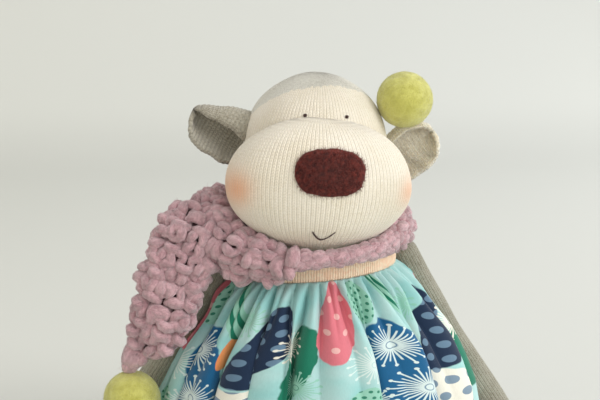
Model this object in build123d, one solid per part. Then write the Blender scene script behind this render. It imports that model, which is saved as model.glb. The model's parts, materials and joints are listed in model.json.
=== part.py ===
"""A seated stuffed monkey in a gathered dress, with a chunky scarf and felt balls.

Millimetres, +Z up, the face looks along -Y, and the origin is the middle of the flat seat.
Soft pieces are plain closed solids of the size that the stuffed piece takes up.
"""

import math
import os

from build123d import *

# Driving dimensions -----------------------------------------------------------------------

GAP = 0.5  # clearance between soft pieces that move against each other
KNIT = 1.2  # thickness of a knitted skin
REACH = 200  # long enough to cut right through any piece

HEAD = Vector(0, 1, 149.5)
HEAD_SIZE = (31, 30, 32)
HEAD_ROLL = 3  # degrees, the top of the head leans to +X
MUZZLE = Vector(-1.5, -25, -12.5)  # from the head's centre
MUZZLE_SIZE = (39.3, 21, 28)
NOSE_CENTRE = (-0.5, -5)  # X and Z, from the head's centre
NOSE_SIZE = (29, 19)
NOSE_THICKNESS = 2.2
EYE_SPREAD = 8.8
EYE_HEIGHT = 15.9
EYE_RADIUS = 0.9
EYE_CLEARANCE = 0.1  # between an eye's stitches and the muzzle below it
MOUTH_DROP = -31.5  # the mouth's corners, from the head's centre
MOUTH_SIZE = (9.6, 3.8)
THREAD_WIDTH = 0.8
BALL_RADIUS = 12.2
HEAD_BALL = Vector(36.6, -8, 22.4)  # from the head's centre

EAR_SIZE = (12.3, 5, 12.5)
EAR_DEPTH = 4  # how far behind the head's centre an ear stands
EAR_LEFT_RISE = 4
EAR_RIGHT_RISE = 0

NECK = Vector(0, 3, 119)  # the point that the head turns and nods about
NECK_RADIUS = 11
STEM_RADIUS = 7.5

TORSO_TOP = 109
TORSO_SECTIONS = [  # height, centre Y, half width, half depth
    (0, 0, 30, 26),
    (12, 0, 37, 33),
    (40, 0, 38, 33),
    (75, 0, 35, 29),
    (96, 0, 32, 26),
    (104, 4, 29, 19),
    (TORSO_TOP, 7, 24, 11),
]

BAND_LOW, BAND_HIGH = 93.5, 105.5
BAND_SIZE = (35.4, 30.4)
BAND_THICKNESS = 1.2

SKIRT_THICKNESS = 1.0
SKIRT_SECTIONS = [  # height, half width, half depth
    (12, 70, 62),
    (30, 68, 60),
    (45, 64.3, 56),
    (55, 58.8, 52),
    (67, 51.6, 47),
    (75, 46.8, 43),
    (84, 42, 38.5),
    (90, 38.6, 34),
    (BAND_LOW - 0.2, 34.6, 30.2),
]
LAP_HALF_WIDTH, LAP_HEIGHT = 42, 20.5  # the hem's front is raised over the thighs

SCARF_CENTRE = Vector(0, -1.5, 111.6)
SCARF_RADIUS = 35.5
SCARF_TUBE = 5.5
SCARF_TILT = 11.3
HUMP = Vector(-49.5, 3, 119.5)
HUMP_SIZE = (12.5, 10, 11)
HUMP_TURN = 37
SCARF_END_THICKNESS = 9
SCARF_END_MIDDLE = Vector(-60, -22, 82)
SCARF_END_LEAN = (-8, 0, -22)  # degrees about X, Y and Z
SCARF_END_OUTLINE = [  # X and Z, anticlockwise from the upper left corner
    (-66, 107),
    (-73, 103),
    (-76.5, 90),
    (-80, 76),
    (-84.5, 60.5),
    (-79, 60.5),
    (-69, 68),
    (-58, 72),
    (-54, 85),
    (-49, 96),
    (-41, 105),
]
SCARF_TIP = Vector(-81.5, -18, 59.5)
BACK_END_TOP = Vector(18, 44, 111)
BACK_END_TIP = Vector(18, 62, 76)
BACK_END_WIDTH = 30
BALL_DROP = 2.2  # from a scarf end's tip to the top of its ball

SHOULDER = Vector(40.7, 5, 100)
ARM_SLOPE = 31.6  # degrees outward from plumb
UPPER_ARM_LENGTH = 44
FOREARM_LENGTH = 60
ARM_RADII = (6.5, 6.8, 7.2)  # shoulder, elbow, wrist
HAND_RADIUS = 8.4

HIP = Vector(18, -40.5, 9)
KNEE = Vector(24.5, -84, 8.6)
ANKLE = Vector(32, -128, 9)
LEG_RADII = (8.8, 8.5, 8.2)  # hip, knee, ankle
FOOT_SIZE = (10.5, 9.5, 14)

TAIL_RADIUS = 4.7
TAIL_PATH = [(0, 34.5), (0, 62), (14, 84), (44, 92), (64, 76)]
TAIL_BENDS = [28, 28, 18]
THREAD_RADIUS = 1.0


STANDING = (Align.CENTER, Align.CENTER, Align.MIN)
BEHIND = (Align.CENTER, Align.MIN, Align.CENTER)


# Shapes -----------------------------------------------------------------------------------


def ellipsoid(centre, size):
    """A solid ellipsoid of three half sizes."""
    return Pos(*centre) * scale(Sphere(1), by=tuple(size))


def shrunk(size, amount):
    return tuple(half - amount for half in size)


def rolled(shape):
    """Turn a head piece, modelled upright about the head's centre, to the head's lean."""
    return Pos(*HEAD) * Rot(0, HEAD_ROLL, 0) * shape


def loft_ellipses(sections, ruled=False):
    """A solid through level ellipses: height, centre Y, half width, half depth."""
    return loft([Pos(0, y, z) * Ellipse(rx, ry) for z, y, rx, ry in sections], ruled=ruled)


def segment(length, start, end, radii, round_start=True):
    """A tapered tube along Z from start to length, closed by balls of its own end radii."""
    low, high = radii
    body = Pos(0, 0, start) * Cone(low, high, length - start, align=STANDING)
    body += Pos(0, 0, length) * Sphere(end)
    if round_start:
        body += Pos(0, 0, start) * Sphere(low)
    return body


def along(start, finish, shape):
    """Stand a shape that runs along Z on the line from start to finish."""
    return Plane(origin=start, z_dir=finish - start) * shape


def mirrored(point, side):
    return Vector(side * point.X, point.Y, point.Z)


# Head -------------------------------------------------------------------------------------


def head_pieces():
    cranium = ellipsoid((0, 0, 0), HEAD_SIZE)
    filling = ellipsoid((0, 0, 0), shrunk(HEAD_SIZE, KNIT))
    muzzle = ellipsoid(MUZZLE, MUZZLE_SIZE)
    muzzle_filling = ellipsoid(MUZZLE, shrunk(MUZZLE_SIZE, KNIT))
    padded_muzzle = ellipsoid(MUZZLE, shrunk(MUZZLE_SIZE, -NOSE_THICKNESS))
    muzzle_room = ellipsoid(MUZZLE, shrunk(MUZZLE_SIZE, -EYE_CLEARANCE))
    stitched_muzzle = ellipsoid(MUZZLE, shrunk(MUZZLE_SIZE, -THREAD_WIDTH))
    socket = Pos(*NECK) * Sphere(NECK_RADIUS + GAP)

    front = Plane.XZ.offset(HEAD_SIZE[1] / 2)
    nose_outline = Pos(*NOSE_CENTRE) * Ellipse(NOSE_SIZE[0] / 2, NOSE_SIZE[1] / 2)
    nose = extrude(front * nose_outline, REACH) & padded_muzzle

    half, depth = MOUTH_SIZE[0] / 2, MOUTH_SIZE[1]
    smile = ThreePointArc((-half, MOUTH_DROP), (0, MOUTH_DROP - depth), (half, MOUTH_DROP))
    mouth = extrude(front * make_face(offset(smile, THREAD_WIDTH / 2)), REACH) & stitched_muzzle

    eye_depth = HEAD_SIZE[1] * math.sqrt(
        1 - (EYE_SPREAD / HEAD_SIZE[0]) ** 2 - (EYE_HEIGHT / HEAD_SIZE[2]) ** 2
    )
    eyes = [
        Pos(side * EYE_SPREAD, -eye_depth, EYE_HEIGHT) * Sphere(EYE_RADIUS) - cranium - muzzle_room
        for side in (-1, 1)
    ]
    eye_solids = [solid for eye in eyes for solid in eye.solids()]

    return {
        "head_skin": rolled(cranium - filling) - socket,
        "head_stuffing": rolled(filling) - socket,
        "muzzle_skin": rolled(muzzle - muzzle_filling - cranium) - socket,
        "muzzle_stuffing": rolled(muzzle_filling - cranium) - socket,
        "nose_pad": rolled(nose - muzzle),
        "mouth_stitches": rolled(mouth - muzzle),
        "eye_stitches": rolled(Compound(children=eye_solids)),
        "head_ball": rolled(Pos(*HEAD_BALL) * Sphere(BALL_RADIUS) - cranium),
    }


def ear(side, rise):
    """A flat padded ear whose inner edge just clears the side of the head."""
    across = math.sqrt(1 - (EAR_DEPTH / HEAD_SIZE[1]) ** 2 - (rise / HEAD_SIZE[2]) ** 2)
    reach = HEAD_SIZE[0] * across
    centre = (side * (reach + 2 * GAP + EAR_SIZE[0]), EAR_DEPTH, rise)
    return rolled(ellipsoid(centre, EAR_SIZE))


# Trunk and dress --------------------------------------------------------------------------


def neck():
    ball = Pos(*NECK) * Sphere(NECK_RADIUS)
    base = TORSO_TOP + GAP
    stem = Pos(NECK.X, NECK.Y, base) * Cylinder(STEM_RADIUS, NECK.Z - base, align=STANDING)
    above = Pos(NECK.X, NECK.Y, base) * Box(REACH, REACH, REACH, align=STANDING)
    return (ball + stem) & above


def shoulder_thread():
    length = 2 * (SHOULDER.X - ARM_RADII[0] - GAP)
    return Pos(0, SHOULDER.Y, SHOULDER.Z) * Rot(0, 90, 0) * Cylinder(THREAD_RADIUS, length)


def torso_pieces():
    outer = loft_ellipses(TORSO_SECTIONS)
    inner_sections = [(z, y, rx - KNIT, ry - KNIT) for z, y, rx, ry in TORSO_SECTIONS]
    core = loft_ellipses(inner_sections)
    core &= Pos(0, 0, TORSO_TOP / 2) * Box(REACH, REACH, TORSO_TOP - 2 * KNIT)
    thread = shoulder_thread()
    return {
        "torso_skin": outer - core - thread,
        "torso_stuffing": core - thread,
        "shoulder_thread": thread,
    }


def armholes():
    """The space that the two arm tops turn in."""
    holes = [Pos(*mirrored(SHOULDER, side)) * Sphere(ARM_RADII[0] + 2 * GAP) for side in (-1, 1)]
    return holes[0] + holes[1]


def dress_band():
    rx, ry = BAND_SIZE
    ring = Ellipse(rx, ry) - Ellipse(rx - BAND_THICKNESS, ry - BAND_THICKNESS)
    band = extrude(Pos(0, 0, BAND_LOW) * ring, BAND_HIGH - BAND_LOW)
    return band - armholes() - scarf_ring(SCARF_TUBE + GAP / 2)


def dress_skirt():
    """A thin gathered bell, open at both ends, with its front hem lifted over the thighs."""
    outer = loft_ellipses([(z, 0, rx, ry) for z, rx, ry in SKIRT_SECTIONS], ruled=True)
    lining = [(z, 0, rx - SKIRT_THICKNESS, ry - SKIRT_THICKNESS) for z, rx, ry in SKIRT_SECTIONS]
    (low, *low_size), (high, *high_size) = lining[0], lining[-1]
    inner = loft_ellipses([(low - 1, *low_size), *lining, (high + 1, *high_size)], ruled=True)
    bottom_edge = (Align.CENTER, Align.MAX, Align.CENTER)
    lap = Box(2 * LAP_HALF_WIDTH, REACH, 2 * LAP_HEIGHT, align=bottom_edge)
    return outer - inner - lap


# Scarf ------------------------------------------------------------------------------------


def scarf_ring(tube):
    return Pos(*SCARF_CENTRE) * Rot(SCARF_TILT, 0, 0) * Torus(SCARF_RADIUS, tube)


def scarf_wrap():
    """The ring round the neck, with the raised fold that the front end hangs from."""
    hump = Pos(*HUMP) * Rot(0, 0, HUMP_TURN) * ellipsoid((0, 0, 0), HUMP_SIZE)
    return scarf_ring(SCARF_TUBE) + hump


def scarf_end_front():
    """The hanging end: a slab that narrows to the corner that carries a ball."""
    middle = SCARF_END_MIDDLE
    flat = make_face(Polyline([(x - middle.X, z - middle.Z) for x, z in SCARF_END_OUTLINE], close=True))
    flat = fillet(flat.vertices(), 2)
    slab = extrude(Plane.XZ * flat, SCARF_END_THICKNESS / 2, both=True)
    return Pos(*middle) * Rot(*SCARF_END_LEAN) * slab


def scarf_end_back():
    length = (BACK_END_TIP - BACK_END_TOP).length
    slab = Box(BACK_END_WIDTH, SCARF_END_THICKNESS, length, align=STANDING)
    slab = fillet(slab.edges(), 3)
    drop = BACK_END_TOP - BACK_END_TIP
    lean = math.degrees(math.atan2(-drop.Y, drop.Z))
    return Pos(*BACK_END_TOP) * Rot(180 + lean, 0, 0) * slab


def hanging_ball(tip):
    return Pos(tip.X, tip.Y, tip.Z - BALL_RADIUS - BALL_DROP) * Sphere(BALL_RADIUS)


# Limbs and tail ---------------------------------------------------------------------------


def stuffed(name, outer, inner):
    return {name + "_skin": outer - inner, name + "_stuffing": inner}


def upper_arm(side):
    """A tube between two balls, from the shoulder to the elbow."""
    start = mirrored(SHOULDER, side)
    low, high = ARM_RADII[0], ARM_RADII[1]
    outer = segment(UPPER_ARM_LENGTH, 0, high, (low, high))
    inner = segment(UPPER_ARM_LENGTH, 0, high - KNIT, (low - KNIT, high - KNIT))
    return along(start, elbow(side), outer), along(start, elbow(side), inner)


def arm_direction(side):
    slope = math.radians(ARM_SLOPE)
    return Vector(side * math.sin(slope), 0, -math.cos(slope))


def elbow(side):
    return mirrored(SHOULDER, side) + arm_direction(side) * UPPER_ARM_LENGTH


def forearm(side):
    """From a flat face beside the elbow's ball to the rounded hand."""
    start = elbow(side)
    finish = start + arm_direction(side) * FOREARM_LENGTH
    first = ARM_RADII[1] + GAP
    outer = segment(FOREARM_LENGTH, first, HAND_RADIUS, ARM_RADII[1:], round_start=False)
    inner_radii = shrunk(ARM_RADII[1:], KNIT)
    inner = segment(FOREARM_LENGTH, first + KNIT, HAND_RADIUS - KNIT, inner_radii, round_start=False)
    return along(start, finish, outer), along(start, finish, inner)


def thigh(side):
    start, finish = mirrored(HIP, side), mirrored(KNEE, side)
    length = (finish - start).length
    low, high = LEG_RADII[0], LEG_RADII[1]
    outer = segment(length, 0, high, (low, high))
    inner = segment(length, 0, high - KNIT, (low - KNIT, high - KNIT))
    return along(start, finish, outer), along(start, finish, inner)


def shin(side):
    """From a flat face beside the knee's ball to the upright foot."""
    start, finish = mirrored(KNEE, side), mirrored(ANKLE, side)
    length = (finish - start).length
    first = LEG_RADII[1] + GAP
    high = LEG_RADII[2]
    foot_centre = Vector(finish.X, finish.Y - 4, FOOT_SIZE[2])
    outer = along(start, finish, segment(length, first, high, LEG_RADII[1:], round_start=False))
    outer += ellipsoid(foot_centre, FOOT_SIZE)
    inner_radii = shrunk(LEG_RADII[1:], KNIT)
    inner = along(start, finish, segment(length, first + KNIT, high - KNIT, inner_radii, round_start=False))
    inner += ellipsoid(foot_centre, shrunk(FOOT_SIZE, KNIT))
    return outer, inner


def tail():
    """A tube that lies on the floor and curls round to +X."""
    points = [(x, y, TAIL_RADIUS) for x, y in TAIL_PATH]
    path = FilletPolyline(*points, radius=TAIL_BENDS)
    tip = Pos(*points[-1])

    def tube(radius, start):
        section = Plane(origin=points[0], z_dir=(0, 1, 0)) * Circle(radius)
        behind = Pos(0, points[0][1] + start, 0) * Box(REACH, REACH, REACH, align=BEHIND)
        return (sweep(section, path=path) + tip * Sphere(radius)) & behind

    return tube(TAIL_RADIUS, 0), tube(TAIL_RADIUS - KNIT, KNIT)


# Everything -------------------------------------------------------------------------------


def monkey():
    pieces = {**head_pieces(), **torso_pieces()}
    pieces["ear_left"] = ear(-1, EAR_LEFT_RISE)
    pieces["ear_right"] = ear(1, EAR_RIGHT_RISE)
    pieces["neck_core"] = neck()
    pieces["dress_band"] = dress_band()
    pieces["dress_skirt"] = dress_skirt()
    pieces["scarf_wrap"] = scarf_wrap()
    pieces["scarf_end_front"] = scarf_end_front()
    pieces["scarf_ball_front"] = hanging_ball(SCARF_TIP)
    pieces["scarf_end_back"] = scarf_end_back()
    pieces["scarf_ball_back"] = hanging_ball(BACK_END_TIP)
    for side, word in ((-1, "left"), (1, "right")):
        pieces.update(stuffed("upper_arm_" + word, *upper_arm(side)))
        pieces.update(stuffed("forearm_" + word, *forearm(side)))
        pieces.update(stuffed("thigh_" + word, *thigh(side)))
        pieces.update(stuffed("shin_" + word, *shin(side)))
    pieces.update(stuffed("tail", *tail()))
    return pieces


os.makedirs("parts", exist_ok=True)
for node, piece in monkey().items():
    export_step(piece, f"parts/{node}.step")
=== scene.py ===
import json
import math

import bpy
import numpy as np
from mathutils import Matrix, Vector


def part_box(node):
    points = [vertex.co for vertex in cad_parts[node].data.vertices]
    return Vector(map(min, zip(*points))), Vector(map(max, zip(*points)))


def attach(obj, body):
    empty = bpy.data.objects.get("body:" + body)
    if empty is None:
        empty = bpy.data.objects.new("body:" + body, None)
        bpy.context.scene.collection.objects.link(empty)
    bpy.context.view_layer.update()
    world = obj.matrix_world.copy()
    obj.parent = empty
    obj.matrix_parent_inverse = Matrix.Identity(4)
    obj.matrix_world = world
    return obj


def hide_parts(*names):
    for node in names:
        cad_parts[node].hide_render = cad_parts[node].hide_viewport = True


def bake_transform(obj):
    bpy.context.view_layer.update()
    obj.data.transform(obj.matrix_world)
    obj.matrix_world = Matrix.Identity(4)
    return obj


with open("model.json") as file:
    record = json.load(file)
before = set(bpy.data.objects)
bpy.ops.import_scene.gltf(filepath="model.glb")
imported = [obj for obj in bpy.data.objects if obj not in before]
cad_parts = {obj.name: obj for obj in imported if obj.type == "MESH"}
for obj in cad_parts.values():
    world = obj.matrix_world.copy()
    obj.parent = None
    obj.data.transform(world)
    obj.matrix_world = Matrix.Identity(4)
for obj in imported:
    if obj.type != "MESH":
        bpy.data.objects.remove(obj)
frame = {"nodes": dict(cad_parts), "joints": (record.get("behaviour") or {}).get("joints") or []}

MM = 0.001
TAU = 2 * math.pi
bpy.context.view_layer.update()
JOINTS = {joint["name"]: Vector(joint["pos_m"]) for joint in frame["joints"] if "pos_m" in joint}


def node_centre(node):
    low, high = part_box(node)
    return (low + high) / 2


def node_size(node):
    low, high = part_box(node)
    return high - low


HEAD_TALL = 32 / 31  # half height over half width; the neck's opening cuts the skin short below
HEAD_SIZE = node_size("head_skin")
HEAD_HALF = Vector((HEAD_SIZE.x / 2, HEAD_SIZE.y / 2, HEAD_SIZE.x / 2 * HEAD_TALL))
HEAD = Vector((*node_centre("head_skin").xy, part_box("head_skin")[1].z - HEAD_HALF.z))
HEAD_ROLL = math.radians(3)
MUZZLE_DEPTH = 21 * MM
MUZZLE_HALF = Vector((node_size("muzzle_skin").x / 2, MUZZLE_DEPTH, node_size("muzzle_skin").z / 2))
MUZZLE = node_centre("muzzle_skin")
MUZZLE.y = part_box("muzzle_skin")[0].y + MUZZLE_DEPTH


# Camera and lights ------------------------------------------------------------------------

LENS = 85
AZIMUTH, ELEVATION = math.radians(-8), math.radians(10)
DISTANCE = 615 * MM
ASPECT = 3 / 2  # width of the picture over its height
# the head's centre from the middle of the picture, as shares of its width and height
HEAD_RIGHT, HEAD_ABOVE = 0.025, 0.135
AIM = (0, 0, 0.12)  # where all the lamps point
LIGHTS = [  # name, place and size in metres, power in watts, colour
    ("window", (1.2, -0.75, 0.85), 0.9, 14.3, (1.0, 0.99, 0.98)),
    ("rim", (1.2, 0.7, 0.6), 0.8, 7, (1.0, 1.0, 1.0)),
    ("room", (-1.2, -0.8, 0.5), 1.2, 2.6, (1.0, 0.84, 0.66)),
    ("above", (0.1, 0.2, 1.5), 1.2, 3.7, (1.0, 1.0, 1.0)),
    ("table", (0.2, -1.1, 0.12), 0.5, 1.5, (1.0, 0.98, 0.94)),
]
SKY_COLOUR, SKY_STRENGTH = (1.0, 0.99, 0.965, 1), 0.66


def make_camera():
    data = bpy.data.cameras.new("camera")
    data.lens = LENS
    data.clip_start = 0.01
    camera = bpy.data.objects.new("camera", data)
    bpy.context.collection.objects.link(camera)
    back = Vector((
        math.sin(AZIMUTH) * math.cos(ELEVATION),
        -math.cos(AZIMUTH) * math.cos(ELEVATION),
        math.sin(ELEVATION),
    ))
    right = Vector((math.cos(AZIMUTH), math.sin(AZIMUTH), 0))
    span = DISTANCE * data.sensor_width / LENS
    target = HEAD - right * HEAD_RIGHT * span - back.cross(right) * HEAD_ABOVE * span / ASPECT
    camera.location = target + back * DISTANCE
    camera.rotation_mode = "QUATERNION"
    camera.rotation_quaternion = (-back).to_track_quat("-Z", "Y")
    bpy.context.scene.camera = camera


def make_lights():
    for name, place, size, power, colour in LIGHTS:
        data = bpy.data.lights.new(name, "AREA")
        data.shape = "DISK"
        data.size = size
        data.energy = power
        data.color = colour
        lamp = bpy.data.objects.new(name, data)
        lamp.location = place
        lamp.rotation_mode = "QUATERNION"
        lamp.rotation_quaternion = (Vector(AIM) - Vector(place)).to_track_quat("-Z", "Y")
        bpy.context.collection.objects.link(lamp)
    world = bpy.data.worlds.new("world")
    world.use_nodes = True
    background = world.node_tree.nodes["Background"]
    background.inputs["Color"].default_value = SKY_COLOUR
    background.inputs["Strength"].default_value = SKY_STRENGTH
    bpy.context.scene.world = world
    bpy.context.scene.view_settings.view_transform = "Standard"


# Meshes -----------------------------------------------------------------------------------


def make_piece(name, points, faces, material, attributes=None, flat_caps=False):
    """A mesh object from points in metres, with per-point attributes for its material."""
    mesh = bpy.data.meshes.new(name)
    faces = faces if isinstance(faces, list) else faces.tolist()
    mesh.from_pydata(np.asarray(points, float).tolist(), [], faces)
    for key, values in (attributes or {}).items():
        values = np.asarray(values, np.float32)
        if values.ndim == 1:
            mesh.attributes.new(key, "FLOAT", "POINT").data.foreach_set("value", values)
        else:
            mesh.attributes.new(key, "FLOAT_VECTOR", "POINT").data.foreach_set("vector", values.ravel())
    smooth = [len(face.vertices) <= 4 or not flat_caps for face in mesh.polygons]
    mesh.polygons.foreach_set("use_smooth", smooth)
    mesh.materials.append(material)
    mesh.update()
    piece = bpy.data.objects.new(name, mesh)
    bpy.context.collection.objects.link(piece)
    return piece


def declare(piece, body, nodes):
    """Say which body a piece rides and which CAD nodes it replaces.

    Without a body the piece rides no body.
    """
    if body:
        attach(piece, body)
    if nodes:
        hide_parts(*nodes)


def grid_faces(rows, columns, wrap_rows=False, wrap_columns=False):
    """Quads of a grid of points stored row by row."""
    r = np.arange(rows if wrap_rows else rows - 1)
    c = np.arange(columns if wrap_columns else columns - 1)
    r, c = np.meshgrid(r, c, indexing="ij")
    r2, c2 = (r + 1) % rows, (c + 1) % columns
    quads = np.stack([r * columns + c, r * columns + c2, r2 * columns + c2, r2 * columns + c], -1)
    return quads.reshape(-1, 4)


def capped_faces(rows, around):
    """Quads of a tube's grid of points, and one face over each end."""
    top = (rows - 1) * around
    ends = [tuple(reversed(range(around))), tuple(range(top, top + around))]
    return grid_faces(rows, around, wrap_columns=True).tolist() + ends


def unit_rows(vectors):
    return vectors / (np.linalg.norm(vectors, axis=-1, keepdims=True) + 1e-12)


def square_to(vectors, axes):
    """Unit vectors square to the axes, as near as can be to the given ones."""
    return unit_rows(vectors - axes * (vectors * axes).sum(-1, keepdims=True))


def arc_length(points):
    """The distance along a line at each of its points."""
    return np.concatenate([[0], np.cumsum(np.linalg.norm(np.diff(points, axis=0), axis=1))])


def circle_angles(count):
    return np.linspace(0, TAU, count, endpoint=False)


def rings(sides, ups, angle):
    """Directions round a centreline, one ring for each of its points."""
    return np.cos(angle)[None, :, None] * sides[:, None] + np.sin(angle)[None, :, None] * ups[:, None]


def coordinates(across, along):
    """Material coordinates in mm for each point: across and along a knit, a cloth or a strand."""
    return np.stack(np.broadcast_arrays(across, along, 0.0), -1).reshape(-1, 3)


def cube_sphere(divisions):
    """Points on a unit sphere and the quads between them, from a subdivided cube."""
    steps = np.tan(np.linspace(-math.pi / 4, math.pi / 4, divisions + 1))
    u, v = np.meshgrid(steps, steps, indexing="ij")
    one = np.ones_like(u)
    sides = [(one, u, v), (-one, v, u), (v, one, u), (u, -one, v), (u, v, one), (v, u, -one)]
    points = np.concatenate([np.stack(side, -1).reshape(-1, 3) for side in sides])
    quads = grid_faces(divisions + 1, divisions + 1)[:, ::-1]
    faces = np.concatenate([quads + k * (divisions + 1) ** 2 for k in range(6)])
    points /= np.linalg.norm(points, axis=1, keepdims=True)
    _, first, back = np.unique(np.round(points, 6), axis=0, return_index=True, return_inverse=True)
    faces = back.ravel()[faces]
    points = points[first]
    a, b, c = (points[faces[:, k]] for k in range(3))
    outward = np.einsum("ij,ij->i", np.cross(b - a, c - a), a + b + c) > 0
    faces[~outward] = faces[~outward][:, ::-1]
    return points, faces


def smooth_noise(points, scale, seed, waves=9):
    """A smooth pseudo-random value from -1 to 1 at each point, from summed plane waves."""
    draw = np.random.default_rng(seed)
    directions = draw.normal(size=(waves, 3))
    directions *= (draw.uniform(0.7, 1.5, waves) / np.linalg.norm(directions, axis=1))[:, None]
    phases = draw.uniform(0, TAU, waves)
    return np.sin(np.asarray(points) @ directions.T * TAU / scale + phases).sum(1) / waves * 1.6


def smoothstep(low, high, value):
    t = np.clip((value - low) / (high - low), 0, 1)
    return t * t * (3 - 2 * t)


def interpolate(table, value):
    """Values between the rows of a short table whose first column is rising."""
    table = np.asarray(table, float)
    return np.stack([np.interp(value, table[:, 0], table[:, k]) for k in range(1, table.shape[1])], -1)


def catmull(points, count):
    """Evenly spaced points on a smooth curve through the given ones."""
    points = np.asarray(points, float)
    padded = np.concatenate([[2 * points[0] - points[1]], points, [2 * points[-1] - points[-2]]])
    t = np.linspace(0, 1, 24, endpoint=False)[:, None]
    spans = [
        0.5 * (2 * b + (c - a) * t + (2 * a - 5 * b + 4 * c - d) * t**2 + (3 * b - a - 3 * c + d) * t**3)
        for a, b, c, d in zip(padded, padded[1:], padded[2:], padded[3:])
    ]
    fine = np.concatenate(spans + [points[-1:]])
    along = arc_length(fine)
    return interpolate(np.column_stack([along, fine]), np.linspace(0, along[-1], count))


def turning_frames(centres, start):
    """Two directions square to a centreline at each of its points, without twist."""
    tangents = unit_rows(np.gradient(centres, axis=0))
    side = np.asarray(start, float)
    sides = []
    for tangent in tangents:
        side = unit_rows(side - tangent * (side @ tangent))
        sides.append(side)
    sides = np.array(sides)
    return sides, np.cross(tangents, sides)


# Materials --------------------------------------------------------------------------------


def linear(red, green, blue):
    """An sRGB colour of 0 to 255 as the linear colour that Blender takes."""
    values = [channel / 255 for channel in (red, green, blue)]
    return [v / 12.92 if v <= 0.04045 else ((v + 0.055) / 1.055) ** 2.4 for v in values] + [1]


class Value:
    """A value in a material's node tree; sums and products of values add their nodes to the tree."""

    def __init__(self, graph, socket):
        self.graph, self.socket = graph, socket

    def __add__(self, other):
        return self.graph.math("ADD", self, other)

    def __mul__(self, other):
        return self.graph.math("MULTIPLY", self, other)

    def __sub__(self, other):
        return self.graph.math("SUBTRACT", self, other)

    def __rsub__(self, other):
        return self.graph.math("SUBTRACT", other, self)

    def __truediv__(self, other):
        return self.graph.math("DIVIDE", self, other)


class Graph:
    """Short calls for building a material's node tree."""

    def __init__(self, name, roughness=0.9, sheen=0.0, specular=0.2):
        self.material = bpy.data.materials.new(name)
        self.material.use_nodes = True
        self.tree = self.material.node_tree
        self.shader = self.tree.nodes["Principled BSDF"]
        self.set(self.shader, {"Roughness": roughness, "Sheen Weight": sheen, "Sheen Roughness": 0.5,
                               "Specular IOR Level": specular})

    def set(self, node, values):
        """Link values to a node's inputs, or write plain numbers into them."""
        for key, value in values.items():
            socket = node.inputs[key]
            if isinstance(value, Value):
                self.tree.links.new(value.socket, socket)
            else:
                socket.default_value = value

    def node(self, kind, values=None, output=0, **settings):
        node = self.tree.nodes.new("ShaderNode" + kind)
        for key, setting in settings.items():
            setattr(node, key, setting)
        self.set(node, values or {})
        return Value(self, node.outputs[output])

    def math(self, operation, a, b=0.0, c=0.0):
        return self.node("Math", {0: a, 1: b, 2: c}, operation=operation)

    def step(self, value, low, high):
        """0 below low, 1 above high, smooth between."""
        ends = {"Value": value, "From Min": low, "From Max": high}
        return self.node("MapRange", ends, interpolation_type="SMOOTHSTEP")

    def scaled(self, value, low, high):
        """A 0 to 1 value spread over low to high."""
        return self.math("MULTIPLY_ADD", value, high - low, low)

    def hypotenuse(self, a, b):
        return self.math("SQRT", self.math("MULTIPLY_ADD", a, a, b * b))

    def off_centre(self, value, period):
        """How far a value is from the middle of its period, from 0 to 0.5."""
        return self.math("ABSOLUTE", self.math("FRACT", value / period) - 0.5)

    def mix(self, share, a, b):
        return self.node("Mix", {0: share, 6: a, 7: b}, output=2, data_type="RGBA")

    def darken(self, colour, amount):
        """The colour times a grey value."""
        return self.node("Mix", {0: 1.0, 6: colour, 7: amount}, output=2, data_type="RGBA", blend_type="MULTIPLY")

    def attribute(self, name):
        return self.node("Attribute", output="Fac", attribute_name=name)

    def parts(self, vector):
        node = self.tree.nodes.new("ShaderNodeSeparateXYZ")
        self.set(node, {0: vector})
        return [Value(self, output) for output in node.outputs]

    def coordinates(self, name):
        """The first two numbers of a vector attribute."""
        return self.parts(self.node("Attribute", output="Vector", attribute_name=name))[:2]

    def vector(self, x, y, z=0.0):
        return self.node("CombineXYZ", {0: x, 1: y, 2: z})

    def place(self):
        return self.node("TexCoord", output="Object")

    def noise(self, vector, scale, detail=2.0, roughness=0.5):
        values = {"Vector": vector, "Scale": scale, "Detail": detail, "Roughness": roughness}
        return self.node("TexNoise", values, output="Fac")

    def finish(self, colour, height, depth):
        normal = self.node("Bump", {"Distance": depth, "Strength": 1.0, "Height": height})
        self.set(self.shader, {"Base Color": colour, "Normal": normal})
        return self.material


WALE, COURSE = 1.75, 1.35  # millimetres from one column and one row of machine knitting to the next
STITCH_LEAN = 1.5  # rows that a stitch rises from the middle of its column to the edge
CHANGE_TOOTH, CHANGE_JUMP = 2.6, 4.0  # how ragged a change of colour is, within a column and between columns


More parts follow.
